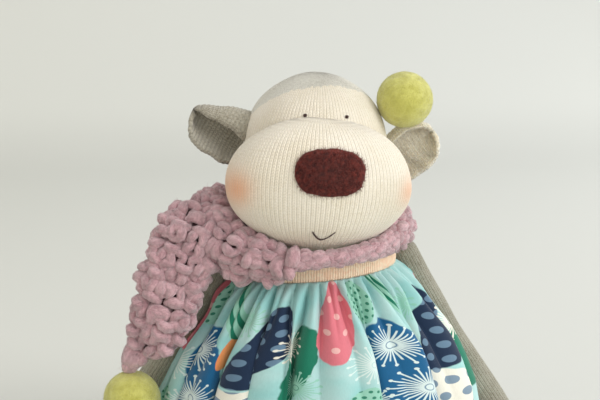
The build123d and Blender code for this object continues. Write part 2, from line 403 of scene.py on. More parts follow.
def knit_material(name, light, dark, colour_change=None, blush=None, depth=0.28, groove_shade=0.83, through=0.0):
    """Fine wool knit: columns of V-shaped stitches, from the piece's own coordinates in mm.

    colour_change is a second pair of colours where the edge attribute is positive, groove_shade how light
    the painted shade leaves the valleys between the columns, and through how much light passes into the wool.
    """
    graph = Graph(name, roughness=0.95, sheen=0.35, specular=0.1)
    graph.set(graph.shader, {"Subsurface Weight": through, "Subsurface Radius": (1.0, 0.85, 0.65),
                             "Subsurface Scale": 4 * MM})
    across, along = graph.coordinates("knit")
    wobble = graph.noise(graph.vector(across * 0.3, along * 0.3), 1.0, 1.0)
    centred = graph.off_centre(across, WALE)
    rib = graph.math("COSINE", (centred - 0.22) * 5.0)
    stitch = graph.math("SINE", (along / COURSE + centred * STITCH_LEAN + wobble * 0.5) * TAU)
    height = rib * graph.scaled(stitch, 0.82, 1.0)
    place = graph.place()
    heather = graph.noise(place, 900, 3.0, 0.7) * 0.55 + graph.noise(place, 45, 2.0) * 0.45
    share = graph.step(heather, 0.3, 0.7)
    colour = graph.mix(share, dark, light)
    if colour_change:
        column = graph.math("FLOOR", across / WALE)
        jump = graph.noise(graph.vector(column * 7.31, 0.5), 1.0, 0.0) - 0.5
        toothed = graph.attribute("edge") + (0.25 - centred) * CHANGE_TOOTH + jump * CHANGE_JUMP
        second = graph.mix(share, colour_change[1], colour_change[0])
        colour = graph.mix(graph.step(toothed, -0.25, 0.25), colour, second)
    if blush:
        colour = graph.mix(graph.attribute("blush"), colour, blush)
    # painted shade: the valleys between the stitch columns are darkened in the colour
    colour = graph.darken(colour, graph.scaled(graph.step(height, 0.1, 0.9), groove_shade, 1.0))
    return graph.finish(colour, height + graph.noise(place, 2600, 2.0, 0.6) * 0.45, depth * MM)


def felt_material(name, light, dark, mottle=240, sheen=0.5, dark_patch=None):
    """Felted wool: matted fibres with soft mottling; dark_patch is a colour laid, mottled, where the dark_patch
    attribute is high.
    """
    graph = Graph(name, roughness=0.95, sheen=sheen, specular=0.1)
    place = graph.place()
    swirl = graph.noise(place, mottle, 3.0, 0.65)
    fibres = graph.noise(place, 1900, 4.0, 0.75)
    colour = graph.mix(graph.step(swirl * 0.6 + fibres * 0.4, 0.3, 0.68), dark, light)
    if dark_patch:
        # a darker colour mixed in where the patch attribute is high, broken up by the mottling
        colour = graph.mix(graph.attribute("dark_patch") * graph.step(swirl, 0.9, 0.3), colour, dark_patch)
    return graph.finish(colour, swirl + fibres * 1.2, 0.5 * MM)


def yarn_material(name, light, dark):
    """Loosely spun roving: long fibres that run along the strand and wind slowly round it."""
    graph = Graph(name, roughness=0.95, sheen=0.7, specular=0.08)
    along, around = graph.coordinates("yarn")
    wound = around + along * 0.30
    ring = graph.vector(graph.math("COSINE", wound) * 4.0, graph.math("SINE", wound) * 4.0, along * 0.35)
    fibres = graph.noise(ring, 1.7, 6.0, 0.72)
    matted = graph.noise(graph.place(), 900, 4.0, 0.7)
    patches = graph.noise(graph.place(), 110, 2.0)
    share = fibres * 0.5 + matted * 0.3 + patches * 0.2
    colour = graph.mix(graph.step(share, 0.36, 0.62), dark, light)
    return graph.finish(colour, fibres + matted * 0.8, 0.55 * MM)


RIB_PITCH, RIB_ROW = 1.06, 0.9  # millimetres


def rib_material(name, light, dark):
    """Fine vertical ribs of a knitted trim, with painted shade in the grooves between them."""
    graph = Graph(name, roughness=0.85, sheen=0.3, specular=0.15)
    across, along = graph.coordinates("knit")
    rib = graph.step(graph.off_centre(across, RIB_PITCH), 0.45, 0.1)
    rows = graph.math("SINE", along * (TAU / RIB_ROW))
    heather = graph.step(graph.noise(graph.place(), 800, 3.0), 0.3, 0.7)
    colour = graph.mix(graph.scaled(heather, 0.35, 1.0), dark, light)
    # painted shade: the grooves between the ribs are darkened in the colour
    colour = graph.darken(colour, graph.scaled(rib, 0.9, 1.0))
    return graph.finish(colour, rib * graph.scaled(rows, 0.9, 1.0), 0.22 * MM)


def filling_material():
    """Loose polyester fibre."""
    graph = Graph("filling", roughness=1.0, sheen=0.4)
    tufts = graph.noise(graph.place(), 160, 5.0, 0.7)
    colour = graph.mix(tufts, linear(214, 212, 206), linear(250, 249, 246))
    return graph.finish(colour, tufts, 1.2 * MM)


def thread_material():
    """Twisted dark sewing thread."""
    graph = Graph("thread", roughness=0.7, sheen=0.3)
    twist = graph.noise(graph.place(), 2200, 3.0, 0.6)
    colour = graph.mix(twist, linear(30, 18, 18), linear(84, 58, 54))
    return graph.finish(colour, twist, 0.2 * MM)


# The skirt's print ------------------------------------------------------------------------

CLOTH_WIDTH, CLOTH_LENGTH = 430.0, 104.0  # the skirt is a straight strip of this size, gathered at the top
TILE = (CLOTH_WIDTH / 4, 140.0)  # millimetres of flat cloth before the print repeats, across and down
WEAVE = 0.36
SPOKES = 15
TEAL = linear(178, 216, 214)
DEEP_TEAL = linear(150, 206, 204)
CREAM = linear(236, 234, 220)
NAVY = linear(20, 42, 70)
SLATE = linear(104, 134, 158)
BLUE = linear(20, 94, 140)
GREEN = linear(20, 118, 92)
MINT = linear(150, 206, 186)
CORAL = linear(222, 122, 134)
ORANGE = linear(236, 150, 92)
OLIVE = linear(150, 160, 84)
PALE = linear(222, 238, 234)
ROSE = linear(240, 190, 186)


def print_local(graph, across, down, centre, size, turn):
    """Coordinates about a motif's centre, repeated over the tile: x, y and the elliptical radius."""
    def wrapped(value, middle, period):
        return graph.math("FLOORED_MODULO", value - (middle - period / 2), period) - period / 2

    x = wrapped(across, centre[0], TILE[0])
    y = wrapped(down, centre[1], TILE[1])
    u = graph.math("MULTIPLY_ADD", x, math.cos(turn), y * math.sin(turn))
    v = graph.math("MULTIPLY_ADD", y, math.cos(turn), x * -math.sin(turn))
    return u, v, graph.hypotenuse(u / size[0], v / size[1])


def burst_mask(graph, u, v, reach):
    """A seed head: thin spokes, every other one shorter, with dots at the tips and a disc in the middle."""
    distance = graph.hypotenuse(u, v)
    turn = graph.math("ARCTAN2", v, u) + TAU
    gap = math.pi / SPOKES
    long_one = graph.math("SINE", graph.math("PINGPONG", turn, gap)) * distance
    short_one = graph.math("SINE", graph.math("PINGPONG", turn + gap, gap)) * distance
    long_line = graph.step(long_one, 0.36, 0.2) * graph.step(distance, reach, reach - 0.3)
    short_line = graph.step(short_one, 0.32, 0.16) * graph.step(distance, 0.8 * reach, 0.72 * reach)
    lines = graph.math("MAXIMUM", long_line, short_line) * graph.step(distance, 0.14 * reach, 0.2 * reach)
    dot = graph.hypotenuse(distance - reach, long_one)
    marks = graph.math("MAXIMUM", lines, graph.step(dot, 0.75, 0.5))
    return graph.math("MAXIMUM", marks, graph.step(distance, 0.16 * reach, 0.12 * reach))


def dots_mask(graph, u, v, pitch, size):
    """Rows of round dots, every other row shifted by half a pitch."""
    row = v / pitch
    shift = graph.math("FLOORED_MODULO", graph.math("FLOOR", row), 2.0) * 0.5
    x = graph.math("FRACT", u / pitch + shift) - 0.5
    y = graph.math("FRACT", row) - 0.5
    return graph.step(graph.hypotenuse(x, y) * pitch, size, size - 0.25)


def stripes_mask(graph, u, pitch, share=0.45):
    return graph.step(graph.off_centre(u, pitch), share / 2 + 0.04, share / 2 - 0.04)


PEBBLES = [  # centre across and down, half sizes, turn, ground, marks, pitch and size of dots; below 0 for stripes
    ((-37, 30), (10, 22), 0.50, NAVY, SLATE, 6.4, 1.9),
    ((-17, 42), (9.5, 23), 0.32, GREEN, MINT, 0, 0),
    ((2, 20), (8, 20), 0.15, CORAL, ROSE, 8.0, 1.6),
    ((34, 46), (14, 25), -0.25, BLUE, PALE, 0, 0),
    ((-47, 66), (13, 17), 0.0, CREAM, SLATE, 7.0, 2.2),
    ((9, 66), (9, 12), 0.2, MINT, GREEN, 3.0, 0.85),
    ((20, 12), (8, 11), -0.3, MINT, GREEN, 3.2, 0.9),
    ((49, 32), (4, 9), 0.3, ORANGE, CORAL, 0, 0),
    ((38, 74), (6, 8), 0.2, OLIVE, NAVY, -2.6, 0),
    ((43, 12), (5, 17), -0.5, MINT, GREEN, -4.0, 0),
    ((16, 94), (15, 13), -0.2, NAVY, SLATE, 6.0, 1.7),
    ((-22, 92), (12, 13), 0.3, CORAL, ROSE, 6.5, 1.5),
    ((46, 98), (12, 11), 0.0, CREAM, GREEN, 4.5, 1.3),
]
SEED_HEADS = [  # centre across and down, reach, colour
    ((-22, 32), 8.5, CREAM),
    ((-13, 52), 8.5, MINT),
    ((13, 42), 9.5, PALE),
    ((32, 34), 10.0, PALE),
    ((38, 56), 10.0, PALE),
    ((23, 62), 7.0, PALE),
    ((-50, 16), 7.5, MINT),
    ((-38, 88), 9.0, PALE),
    ((-4, 82), 9.0, PALE),
]


def print_material():
    """Printed cotton: pebbles with dots, stripes and seed heads on pale teal, over a plain weave."""
    graph = Graph("printed_cotton", roughness=0.8, sheen=0.15, specular=0.25)
    across, down = graph.coordinates("cloth")
    lump = (graph.noise(graph.vector(across * 0.12, down * 0.12), 1.0) - 0.5) * 0.3
    tint = graph.noise(graph.vector(across * 0.05, down * 0.05), 1.0)
    colour = graph.mix(graph.step(tint, 0.4, 0.65), TEAL, DEEP_TEAL)
    for centre, size, turn, ground, marks, pitch, dot in PEBBLES:
        u, v, radius = print_local(graph, across, down, centre, size, turn)
        fill = ground
        if pitch > 0:
            fill = graph.mix(dots_mask(graph, u, v, pitch, dot) * 0.9, ground, marks)
        elif pitch < 0:
            fill = graph.mix(stripes_mask(graph, u, -pitch), ground, marks)
        colour = graph.mix(graph.step(radius + lump, 1.03, 0.98), colour, fill)
    for centre, reach, tone in SEED_HEADS:
        u, v, _ = print_local(graph, across, down, centre, (1, 1), 0.3)
        colour = graph.mix(burst_mask(graph, u, v, reach) * 0.92, colour, tone)
    weave = graph.math("SINE", across * (TAU / WEAVE)) * graph.math("SINE", down * (TAU / WEAVE))
    slub = graph.noise(graph.vector(across * 3.0, down * 0.5), 1.0)
    colour = graph.darken(colour, graph.scaled(slub, 0.9, 1.06))
    return graph.finish(colour, weave * 0.25 + slub * 0.3 + graph.attribute("hem"), 0.12 * MM)


CREAM_WOOL = (linear(244, 237, 222), linear(229, 219, 197))
CROWN_WOOL = (linear(228, 226, 214), linear(196, 192, 178))
# the ears' grey wool painted darker for the limbs, tail and neck: painted shade
LIMB_WOOL_SHADED = (linear(184, 182, 166), linear(140, 135, 116))
EAR_WOOL = (linear(206, 202, 187), linear(158, 150, 132))
# the ears' grey wool painted much lighter for the right ear: painted light shining through it from behind, on top
# of the real light that passes into the wool
EAR_WOOL_PAINTED_LIGHT = (linear(234, 229, 212), linear(192, 182, 160))
NOSE_FELT = (linear(142, 60, 50), linear(44, 14, 15))
NOSE_HAIR = (linear(150, 70, 60), linear(54, 22, 22))

MATERIALS = {
    "face": knit_material("cream_and_grey_knit", *CREAM_WOOL, colour_change=CROWN_WOOL),
    "nose_hair": felt_material("maroon_hair", *NOSE_HAIR, mottle=620, sheen=0.15),
    "muzzle": knit_material("cream_knit", *CREAM_WOOL, blush=linear(238, 176, 134)),
    # grey knit of the limbs, tail and neck, darkened as painted shade
    "grey": knit_material("grey_knit_painted_shade", *LIMB_WOOL_SHADED, depth=0.5, groove_shade=0.74),
    "ear_left": knit_material("ear_knit", *EAR_WOOL, depth=0.8, groove_shade=0.72),
    # right ear: its lighter colour is painted light; through adds the real light passing into the wool
    "ear_right": knit_material("ear_knit_painted_light", *EAR_WOOL_PAINTED_LIGHT, depth=0.6, groove_shade=0.8, through=0.5),
    "nose": felt_material("maroon_felt", *NOSE_FELT, mottle=620, sheen=0.12, dark_patch=linear(24, 12, 16)),
    "ball": felt_material("lime_felt", linear(222, 220, 124), linear(186, 182, 78)),
    "yarn": yarn_material("mauve_roving", linear(224, 184, 190), linear(164, 118, 126)),
    # a dark copy of the mauve roving for the scarf's core: painted shade in the gaps between the loops
    "yarn_painted_shade": yarn_material("mauve_roving_painted_shade", linear(120, 84, 88), linear(84, 54, 60)),
    "band": rib_material("peach_rib", linear(255, 234, 208), linear(250, 206, 174)),
    "cotton": print_material(),
    "filling": filling_material(),
    "thread": thread_material(),
}


# Head -------------------------------------------------------------------------------------

CROWN_EDGE = (15.6, 0.13, 0.78)  # where the grey begins: height in mm, its rise towards +X, and its slope
BLUSH = [  # patches on the muzzle: centre and size across and up in mm, strength
    (-35.5, -2, 6.0, 7.5, 0.85),
    (37, -1, 4.5, 6.0, 0.6),
]
NOSE_BLUNT = 2.5  # power of the nose's oval outline; 2 would be an ellipse
NOSE_THICK = 2.1 * MM
DARK_PATCH_CENTRE, DARK_PATCH_SIZE = (-0.12, -0.06), 0.42  # the nose's dark patch, as shares of its width and height
NOSE_FIBRES = (1.5 * MM, 0.09 * MM, 0.8)  # length, thickness and lean
BALL_FIBRES = (1.8 * MM, 0.045 * MM, 0.75)
NOSE_FIBRE_COUNT, BALL_FIBRE_COUNT = 6000, 900
BALL_LUMPS = [(1.3, 0.012), (0.35, 0.006), (0.12, 0.004)]  # size and depth, as shares of the radius
PAD_RIB, EAR_RIB, LIMB_RIB, TORSO_RIB = 0.085, 0.14, 0.13, 0.08  # mm that the knit's columns stand out
HEAD_UNEVEN, MUZZLE_UNEVEN = 0.35 * MM, 0.4 * MM
EAR_SECTION = [  # share of the half height, and mm back: lower rim, hollow and top
    (-0.98, -6.4), (-0.86, -4.6), (-0.60, -0.4), (-0.15, 2.8), (0.30, 2.6), (0.60, 0.6), (0.74, -2.0), (0.66, -4.8),
]
EARS = {  # width, rise towards the head, the flap that comes down in front, depth, and place about the node in mm
    "left": (1.12, 0.78, [(0.36, -6.2), (0.10, -6.4)], 1.0, (3.4, 0.2, 2.0)),
    "right": (1.08, 0.0, [(0.50, -6.0)], 0.7, (-2.6, 0.2, 0.4)),
}
EAR_TILT = math.radians(34)
EAR_THICK = 2.0 * MM


def leaned(local, centre):
    """Points given about a centre, turned by the head's lean and put in place."""
    x, y, z = local.T
    cosine, sine = math.cos(HEAD_ROLL), math.sin(HEAD_ROLL)
    return np.stack([x * cosine + z * sine, y, z * cosine - x * sine], 1) + np.array(centre)


def rib_height(across, depth):
    """How far the knit's columns stand out, in metres; across and depth are in mm."""
    return np.cos(TAU * (across / WALE - 0.5)) * depth * MM


def ribbed(points, normals, across, depth=PAD_RIB):
    """Raise the knit's columns out of a surface."""
    return points + normals * rib_height(across, depth)[..., None]


def ellipsoid(divisions, half):
    """The points and faces of a unit sphere, and the normals of the ellipsoid with these half sizes."""
    unit, faces = cube_sphere(divisions)
    return unit, faces, unit_rows(unit / half)


def columns_round(unit, wales):
    """Millimetres across the knit's columns, for a number of them that run from pole to pole."""
    return np.arctan2(unit[:, 0], -unit[:, 1]) / TAU * wales * WALE


def make_head():
    half = np.array(HEAD_HALF)
    unit, faces, normals = ellipsoid(120, half)
    across = columns_round(unit, 2 * round(math.pi * half[0] / MM / WALE))
    along = np.arcsin(np.clip(unit[:, 2], -1, 1)) * half[2] / MM
    local = unit * half + normals * (smooth_noise(unit, 0.9, 3) * HEAD_UNEVEN)[:, None]
    aside, back, up = (unit * half / MM).T
    level, rise, slope = CROWN_EDGE
    edge = back - np.minimum((level + rise * aside - up) / slope, 2.0)
    points = leaned(ribbed(local, normals, across), HEAD)
    attributes = {"knit": coordinates(across, along), "edge": edge}
    piece = make_piece("head_skin_knit", points, faces, MATERIALS["face"], attributes)
    declare(piece, "head", ["head_skin"])


def muzzle_front(x, z, lift=0.0):
    """The muzzle's front surface, and its normals before the lean, at x and z from its centre in metres."""
    half = np.array(MUZZLE_HALF) + lift
    rest = np.clip(1 - (x / half[0]) ** 2 - (z / half[2]) ** 2, 0, 1)
    local = np.stack([x, -half[1] * np.sqrt(rest), z], -1)
    return leaned(local, MUZZLE), unit_rows(local / half**2)


def make_muzzle():
    half = np.array(MUZZLE_HALF)
    unit, faces, normals = ellipsoid(132, half)
    width = half[0] * np.sqrt(np.clip(1 - unit[:, 2] ** 2, 0, 1)) ** 0.45
    side = np.arctan2(unit[:, 0], np.abs(unit[:, 1]) + 1e-9)
    side = np.where(unit[:, 1] > 0, np.sign(unit[:, 0]) * math.pi - side, side)
    across = side * width / MM * 0.86
    along = unit[:, 2] * half[2] / MM * 1.15
    local = unit * half + normals * (smooth_noise(unit, 0.8, 11) * MUZZLE_UNEVEN)[:, None]
    local = ribbed(local, normals, across)
    x, _, z = local.T / MM
    patches = [
        strength * np.exp(-(((x - middle) / wide) ** 2 + ((z - level) / tall) ** 2))
        for middle, level, wide, tall, strength in BLUSH
    ]
    attributes = {"knit": coordinates(across, along), "blush": np.clip(sum(patches), 0, 1)}
    piece = make_piece("muzzle_skin_knit", leaned(local, MUZZLE), faces, MATERIALS["muzzle"], attributes)
    declare(piece, "head", ["muzzle_skin"])


def make_nose():
    """A fuzzy felt pad, blunt oval in outline, that follows the muzzle."""
    size, centre = node_size("nose_pad"), node_centre("nose_pad")
    rows, around = 40, 160
    r, a = (grid.ravel() for grid in np.meshgrid(np.linspace(0.02, 1, rows), circle_angles(around), indexing="ij"))
    power = 2 / NOSE_BLUNT
    x = r * np.sign(np.cos(a)) * np.abs(np.cos(a)) ** power * size.x / 2 + centre.x - MUZZLE.x
    z = r * np.sign(np.sin(a)) * np.abs(np.sin(a)) ** power * size.z / 2 + centre.z - MUZZLE.z
    wobble = smooth_noise(coordinates(x, z), 5 * MM, 5) * r**3 * 0.35 * MM
    base, normals = muzzle_front(x + wobble * np.cos(a), z + wobble * np.sin(a))
    crown = (1 - r**5) ** 0.6 * NOSE_THICK
    rough = smooth_noise(base, 2.2 * MM, 21) * 0.16 * MM + smooth_noise(base, 1.0 * MM, 22) * 0.1 * MM
    front = base + normals * (crown + rough * (1 - r**8))[:, None]
    rim = base[-around:] - normals[-around:] * 0.5 * MM
    points = np.concatenate([front, rim])
    aside, _, above = ((points - points.mean(0)) / np.array(size)).T
    # a darker patch left of and below the middle of the nose
    dark_patch = np.exp(-((aside - DARK_PATCH_CENTRE[0]) ** 2 + (above - DARK_PATCH_CENTRE[1]) ** 2) / DARK_PATCH_SIZE**2)
    faces = grid_faces(rows + 1, around, wrap_columns=True)
    piece = make_piece("nose_felt", points, faces, MATERIALS["nose"], {"dark_patch": dark_patch})
    declare(piece, "head", ["nose_pad"])
    picked = np.random.default_rng(7).choice(len(front), NOSE_FIBRE_COUNT)
    fuzz("nose_fuzz", "head", "felt_nose", front[picked], normals[picked], MATERIALS["nose_hair"],
         *NOSE_FIBRES, 77)


def thread_tube(centres, radius, around=8):
    """A short thread along the given points, with rounded ends."""
    sides, ups = turning_frames(centres, (0, 1, 0.2))
    t = np.linspace(-1, 1, len(centres))
    radii = radius * np.sqrt(np.clip(1 - np.abs(t) ** 12, 0.02, 1))
    surface = centres[:, None] + rings(sides, ups, circle_angles(around)) * radii[:, None, None]
    return surface.reshape(-1, 3), grid_faces(len(centres), around, wrap_columns=True)


def merge(meshes):
    points, faces, offset = [], [], 0
    for p, f in meshes:
        points.append(p)
        faces.append(f + offset)
        offset += len(p)
    return np.concatenate(points), np.concatenate(faces)


def make_mouth():
    """A thin smile of two threads, its lowest point a little off the middle."""
    low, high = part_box("mouth_stitches")
    half = (high.x - low.x) / 2 - 0.4 * MM
    deep = high.z - low.z - 1.0 * MM
    middle_x, middle_z = (low.x + high.x) / 2, high.z + 1.1 * MM
    t = np.linspace(-1, 1, 40)
    curve = 1 - np.abs((t + 0.15) / np.where(t < -0.15, 0.85, 1.15)) ** 1.7
    strands = []
    for shift in (-0.12 * MM, 0.14 * MM):
        x = t * half + shift + middle_x - MUZZLE.x
        z = shift * 0.6 - deep * curve + middle_z - MUZZLE.z
        strands.append(thread_tube(muzzle_front(x, z, lift=0.25 * MM)[0], 0.22 * MM))
    declare(make_piece("mouth_thread", *merge(strands), MATERIALS["thread"]), "head", ["mouth_stitches"])


def make_eyes():
    """Each eye is a small knot of a few crossing stitches."""
    low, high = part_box("eye_stitches")
    t = np.linspace(-1, 1, 9)
    strands = []
    for x in (low.x + 0.9 * MM, high.x - 0.9 * MM):
        z = (low.z + high.z) / 2 - (x - HEAD.x) * math.tan(HEAD_ROLL)
        flat = ((x - HEAD.x) / HEAD_HALF.x) ** 2 + ((z - HEAD.z) / HEAD_HALF.z) ** 2
        y = HEAD.y - HEAD_HALF.y * math.sqrt(1 - flat) - 0.25 * MM
        for turn in (0.3, 1.0, 1.6, 2.3):
            along, up = t * 0.95 * MM * math.cos(turn), t * 0.75 * MM * math.sin(turn)
            stitch = np.stack([x + along, y - 0.35 * MM * (1 - t**2), z + up], 1)
            strands.append(thread_tube(stitch, 0.28 * MM))
    declare(make_piece("eye_knots", *merge(strands), MATERIALS["thread"]), "head", ["eye_stitches"])


def fuzz(name, body, slot, roots, normals, material, length, thickness, lean, seed):
    """Fine loose fibres that stand out of a felted surface, each a bent three-sided strand."""
    draw = np.random.default_rng(seed)
    count = len(roots)
    drift = square_to(draw.normal(size=(count, 3)), normals)
    curl = np.cross(normals, drift)
    reach = length * draw.uniform(0.4, 1.0, count)[:, None]
    bend = draw.uniform(-0.6, 0.6, count)[:, None]
    corners = []
    for t in np.linspace(0, 1, 4):
        centre = roots + normals * reach * (t * (1 - lean * t)) + drift * reach * t * lean * 1.6
        centre = centre + curl * reach * bend * t * t - normals * 0.1 * MM * (1 - t)
        radius = thickness * (1 - 0.75 * t)
        for angle in circle_angles(3):
            corners.append(centre + (drift * math.cos(angle) + curl * math.sin(angle)) * radius)
    strand = grid_faces(4, 3, wrap_columns=True)
    faces = (np.arange(count)[:, None, None] * len(corners) + strand).reshape(-1, 4)
    piece = make_piece(name, np.stack(corners, 1).reshape(-1, 3), faces, material)
    declare(piece, body, [])
    return piece


def make_ball(name, node, body, seed):
    """A felted wool ball, a little uneven, with a halo of loose fibres."""
    unit, faces = cube_sphere(40)
    radius = node_size(node).x / 2 * 0.99
    centre = np.array(node_centre(node))
    bulge = sum(smooth_noise(unit, size, seed + k) * depth for k, (size, depth) in enumerate(BALL_LUMPS))
    points = centre + unit * (radius * (1 + bulge))[:, None]
    declare(make_piece(name, points, faces, MATERIALS["ball"]), body, [node])
    normals = unit_rows(np.random.default_rng(seed + 5).normal(size=(BALL_FIBRE_COUNT, 3)))
    fuzz(name + "_fuzz", body, "felt_ball", centre + normals * radius, normals, MATERIALS["ball"],
         *BALL_FIBRES, seed + 9)


def make_ear(side, word):
    """A knitted ear cupped towards the front, its upper part folded down over the hollow."""
    node = f"ear_{word}"
    wide, rise, flap, deep, offset = EARS[word]
    size = node_size(node)
    across, around = 170, 84
    reach, tall = size.x / 2 * wide, size.z / 2
    e = np.linspace(-1, 1, across)[:, None]
    taper = np.sqrt(np.clip(1 - np.abs(e) ** np.where(e * side < 0, 5.0, 2.8), 0, 1)) * 0.92 + 0.08
    profile = catmull(EAR_SECTION + flap, around)
    share = profile[:, 0][None]
    n = (share + np.clip(share - 0.2, 0, None) * rise * e) * taper * tall
    n = n + 0.5 * MM * np.sin(4.5 * e + 1.0) * smoothstep(0.55, 0.95, np.linspace(0, 1, around))[None]
    direction = np.array([math.cos(EAR_TILT), 0, math.sin(EAR_TILT) * side])
    upward = np.array([-math.sin(EAR_TILT) * side, 0, math.cos(EAR_TILT)])
    points = (e * reach)[..., None] * direction + n[..., None] * upward
    points[..., 1] += profile[:, 1][None] * deep * MM * (0.4 + 0.6 * taper)
    facing = unit_rows(np.cross(np.gradient(points, axis=1), np.gradient(points, axis=0)))
    columns = e * reach / MM
    points = ribbed(points, facing, columns, EAR_RIB).reshape(-1, 3)
    points += smooth_noise(points, 9 * MM, 88 + side)[:, None] * np.array([0.3, 0.5, 0.3]) * MM
    points += np.array(node_centre(node)) + np.array(offset) * MM
    knit = coordinates(columns, arc_length(profile * [tall / MM, 1])[None])
    piece = make_piece(f"{node}_knit", points, grid_faces(across, around), MATERIALS[node], {"knit": knit})
    thicken(piece, EAR_THICK, 0.0)
    apply_modifiers(piece)
    declare(piece, node, [node])


def thicken(piece, thickness, offset):
    modifier = piece.modifiers.new("thickness", "SOLIDIFY")
    modifier.thickness = thickness
    modifier.offset = offset


def apply_modifiers(piece):
    """Replace the piece's mesh by the evaluated one."""
    graph = bpy.context.evaluated_depsgraph_get()
    graph.update()
    mesh = bpy.data.meshes.new_from_object(piece.evaluated_get(graph))
    old = piece.data
    piece.modifiers.clear()
    piece.data = mesh
    mesh.name = old.name
    bpy.data.meshes.remove(old)


# Limbs ------------------------------------------------------------------------------------

HAND_RADIUS, FOOT_RADIUS, HIP_RADIUS, TAIL_TIP = 8.4 * MM, 10.5 * MM, 8.6 * MM, 4 * MM
FOOT_HALF, FOOT_WALES = np.array([10.3, 9.3, 13.6]) * MM, 34
ARM_BOW = 2.4 * MM  # how far an arm bends in towards the body at its middle
TAIL_ROUTE = [(0, 1), (0, 14), (2, 31), (11, 46.5), (27, 54), (46, 53), (60, 45)]  # X and Y from its root, in mm
TORSO_PROFILE = [  # height, centre Y, half width, half depth, in mm
    (0, 0, 29, 25.5), (1.5, 1, 32, 27), (5, 1.2, 34.6, 29.5), (12, 0, 37, 33), (22, -1.4, 38.3, 35.4),
    (30, -1.3, 38.4, 35.2), (40, 0, 38, 33), (55, 1.7, 37, 29.8), (75, 0, 35, 29), (86, -1.1, 33.8, 28.9),
    (92, -0.8, 32.8, 27.7), (96, 0, 32, 26), (100, 1.5, 30.8, 23.3), (104, 4, 29, 19), (108.6, 7, 24.4, 11.4),
    (109, 7, 16, 7),
]


def knit_tube(name, centres, radii, around=120):
    """A closed knitted tube round a centreline, its ends drawn in to a point by the radii."""
    angle = circle_angles(around)
    wales = round(TAU * radii.max() / MM / WALE)
    across = angle / TAU * wales * WALE
    size = radii[:, None] + rib_height(across, LIMB_RIB) * (radii / radii.max())[:, None]
    sides, ups = turning_frames(centres, (1, 0, 0))
    points = (centres[:, None] + rings(sides, ups, angle) * size[..., None]).reshape(-1, 3)
    points += (points - np.repeat(centres, around, 0)) * smooth_noise(points, 30 * MM, 31)[:, None] * 0.03
    along = (arc_length(centres) + np.abs(radii - radii[0]) * 0.3) / MM
    knit = coordinates(across, along[:, None])
    faces = grid_faces(len(centres), around, wrap_columns=True).tolist()
    first, base = len(points), len(points) - around
    for k in range(around):
        after = (k + 1) % around
        faces += [(first, after, k), (first + 1, base + k, base + after)]
    points = np.concatenate([points, centres[:1], centres[-1:]])
    knit = np.concatenate([knit, knit[:1], knit[-1:]])
    return make_piece(name, points, faces, MATERIALS["grey"], {"knit": knit})


def declare_limb(piece, word, upper, lower):
    """One soft piece over both halves of a limb, its transform baked into its points, on no body."""
    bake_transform(piece)
    nodes = [f"{part}_{word}_{layer}" for part in (upper, lower) for layer in ("skin", "stuffing")]
    declare(piece, None, nodes)


def capped(length, profile, count):
    """Distances along a limb and its radii: a table of distance and radius, with round ends."""
    first, last = profile[0][1], profile[-1][1]
    s = np.concatenate([
        -first * np.cos(np.linspace(0, math.pi / 2, 14))[:-1],
        np.linspace(0, length, count),
        length + last * np.sin(np.linspace(0, math.pi / 2, 18))[1:],
    ])
    radii = interpolate(profile, np.clip(s, 0, length))[:, 0]
    radii = np.where(s < 0, np.sqrt(np.clip(first**2 - s**2, 0, None)), radii)
    radii = np.where(s > length, np.sqrt(np.clip(last**2 - (s - length) ** 2, 0, None)), radii)
    return s, np.maximum(radii, 0.02 * MM)


def closing(distance, start, radius):
    """How a tube draws in to a round end, from the distance to that end."""
    return np.sqrt(np.clip(1 - ((start - distance) / radius).clip(0) ** 2, 0.001, 1))


def make_arm(side, word):
    shoulder, elbow = JOINTS[f"shoulder_{word}_swing"], JOINTS[f"elbow_{word}_bend"]
    direction = (elbow - shoulder).normalized()
    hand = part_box(f"forearm_{word}_skin")[0].z + HAND_RADIUS
    length = (shoulder.z - hand) / -direction.z
    bend = (elbow - shoulder).length
    s, radii = capped(length, [
        (0, 6.4 * MM), (bend * 0.5, 6.9 * MM), (bend, 6.7 * MM), (bend * 1.5, 7.2 * MM),
        (length - 14 * MM, 7.0 * MM), (length - 9 * MM, 6.9 * MM), (length, 8.2 * MM),
    ], 200)
    radii = radii * (1 + 0.02 * np.sin(s / MM / 9.0) + 0.012 * np.sin(s / MM / 4.1 + 1))
    centres = np.array(shoulder) + s[:, None] * np.array(direction)
    centres[:, 0] -= side * np.clip(s * (length - s), 0, None) / (length / 2) ** 2 * ARM_BOW
    piece = knit_tube(f"arm_{word}_knit", centres, radii)
    declare_limb(piece, word, "upper_arm", "forearm")


